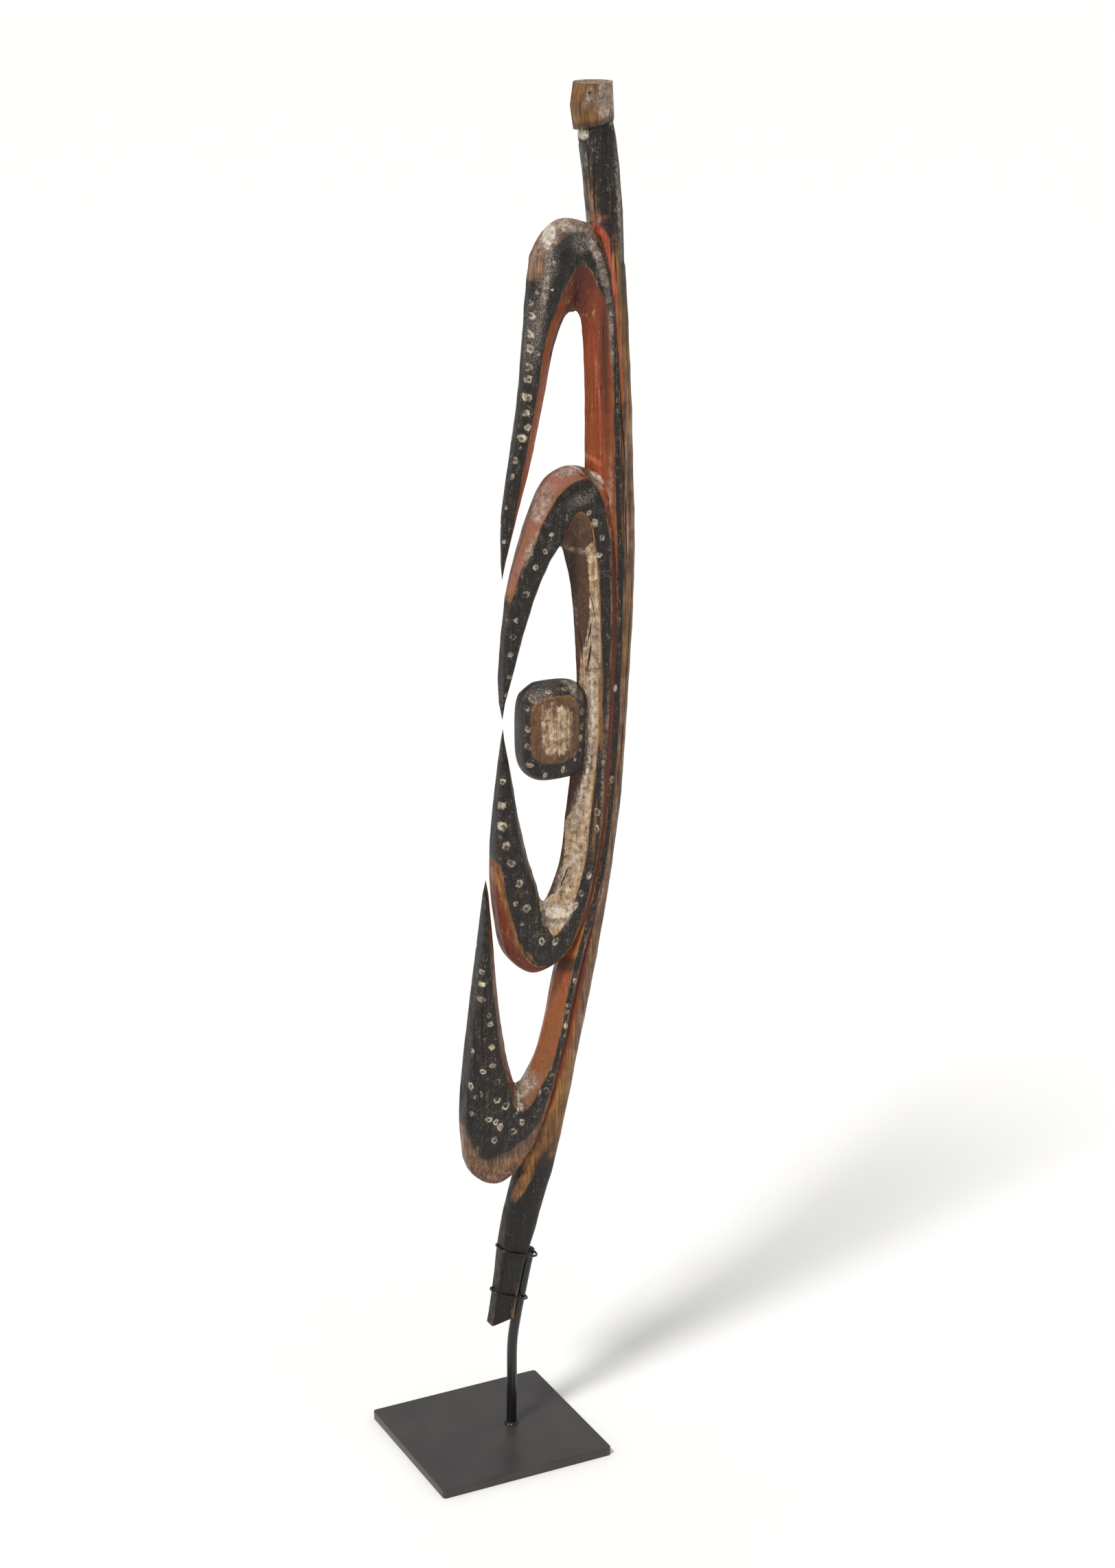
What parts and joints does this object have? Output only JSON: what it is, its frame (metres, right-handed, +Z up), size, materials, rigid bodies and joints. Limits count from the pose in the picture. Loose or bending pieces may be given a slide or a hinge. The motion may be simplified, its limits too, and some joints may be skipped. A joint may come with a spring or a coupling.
{
  "type": "ancestor figure",
  "caption": "Tall carved and painted wooden hook figure with nested curved hooks round a central knob, held upright by wire rings and a bent rod on a square steel plate.",
  "frame": {"origin": "centre of the base plate's underside", "axes": "+Z up, +X towards the figure's back, -X towards the hook tips, the carving lies in the XZ plane"},
  "size_m": [0.264, 0.188, 1.4505],
  "materials": {
    "painted_wood": "hand-carved hardwood with worn charcoal black, red ochre and lime white paint",
    "blackened_steel": "satin black paint over mild steel"
  },
  "bodies": {
    "root": {"figure": "painted_wood", "base_plate": "blackened_steel", "support_rod": "blackened_steel", "upper_ring": "blackened_steel", "lower_ring": "blackened_steel"}
  },
  "joints": []
}
